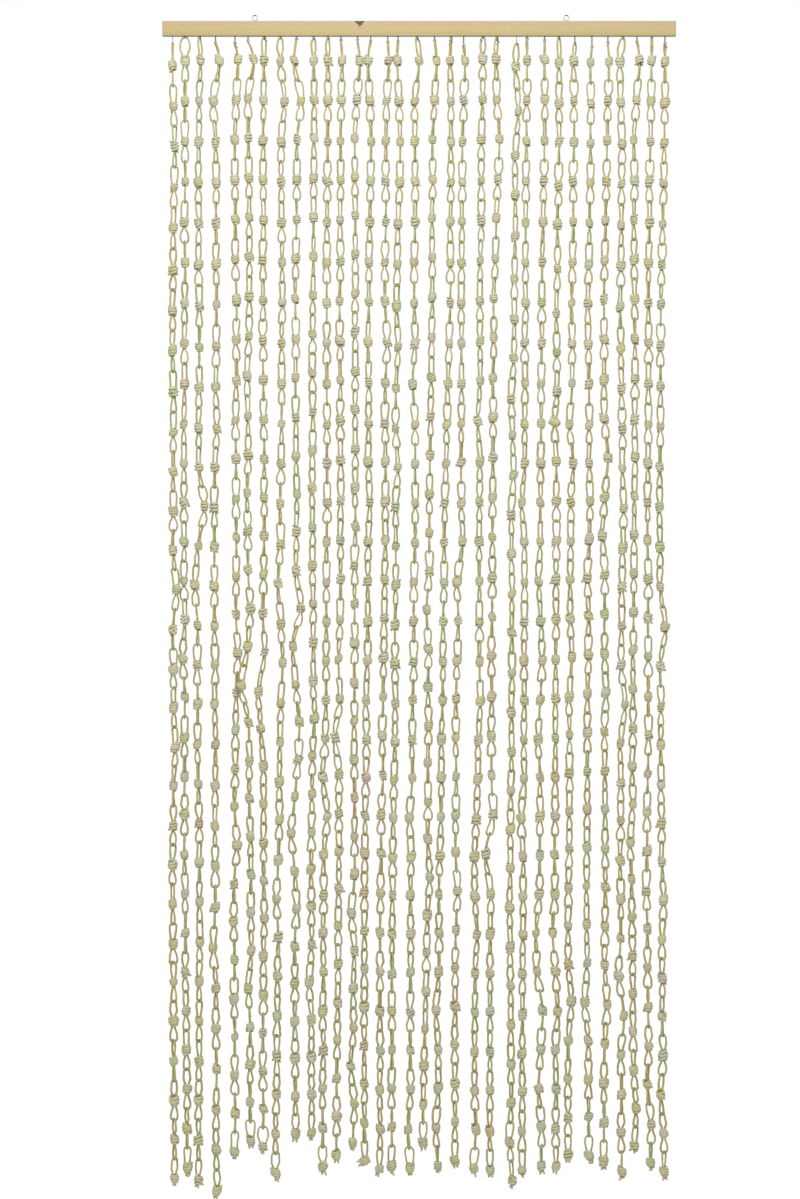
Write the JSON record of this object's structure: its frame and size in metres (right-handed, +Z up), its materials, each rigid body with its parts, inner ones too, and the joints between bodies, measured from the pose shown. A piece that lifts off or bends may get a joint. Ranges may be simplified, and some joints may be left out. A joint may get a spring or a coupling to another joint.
{
  "type": "paper door curtain with batten",
  "caption": "Door curtain: chains of knotted paper cord links hang side by side from a pine batten, which is held up by two wire screw eyes.",
  "frame": {"origin": "midway between the centres of the two screw eyes, which hold the curtain up", "axes": "+X to the right along the batten, +Y to the back, +Z up; the front faces -Y"},
  "size_m": [0.9, 0.0313, 2.0759],
  "materials": {
    "pine": "planed, bare",
    "zinc_wire": "dull zinc plate",
    "paper_cord": "twisted, matt"
  },
  "bodies": {
    "root": {"batten": "pine", "screw_eye_left": "zinc_wire", "screw_eye_right": "zinc_wire", "strand_01": "paper_cord", "strand_02": "paper_cord", "strand_03": "paper_cord", "strand_04": "paper_cord", "strand_05": "paper_cord", "strand_06": "paper_cord", "strand_07": "paper_cord", "strand_08": "paper_cord", "strand_09": "paper_cord", "strand_10": "paper_cord", "strand_11": "paper_cord", "strand_12": "paper_cord", "strand_13": "paper_cord", "strand_14": "paper_cord", "strand_15": "paper_cord", "strand_16": "paper_cord", "strand_17": "paper_cord", "strand_18": "paper_cord", "strand_19": "paper_cord", "strand_20": "paper_cord", "strand_21": "paper_cord", "strand_22": "paper_cord", "strand_23": "paper_cord", "strand_24": "paper_cord", "strand_25": "paper_cord", "strand_26": "paper_cord", "strand_27": "paper_cord", "strand_28": "paper_cord", "strand_29": "paper_cord", "strand_30": "paper_cord", "strand_31": "paper_cord", "strand_32": "paper_cord", "strand_33": "paper_cord"}
  },
  "joints": []
}
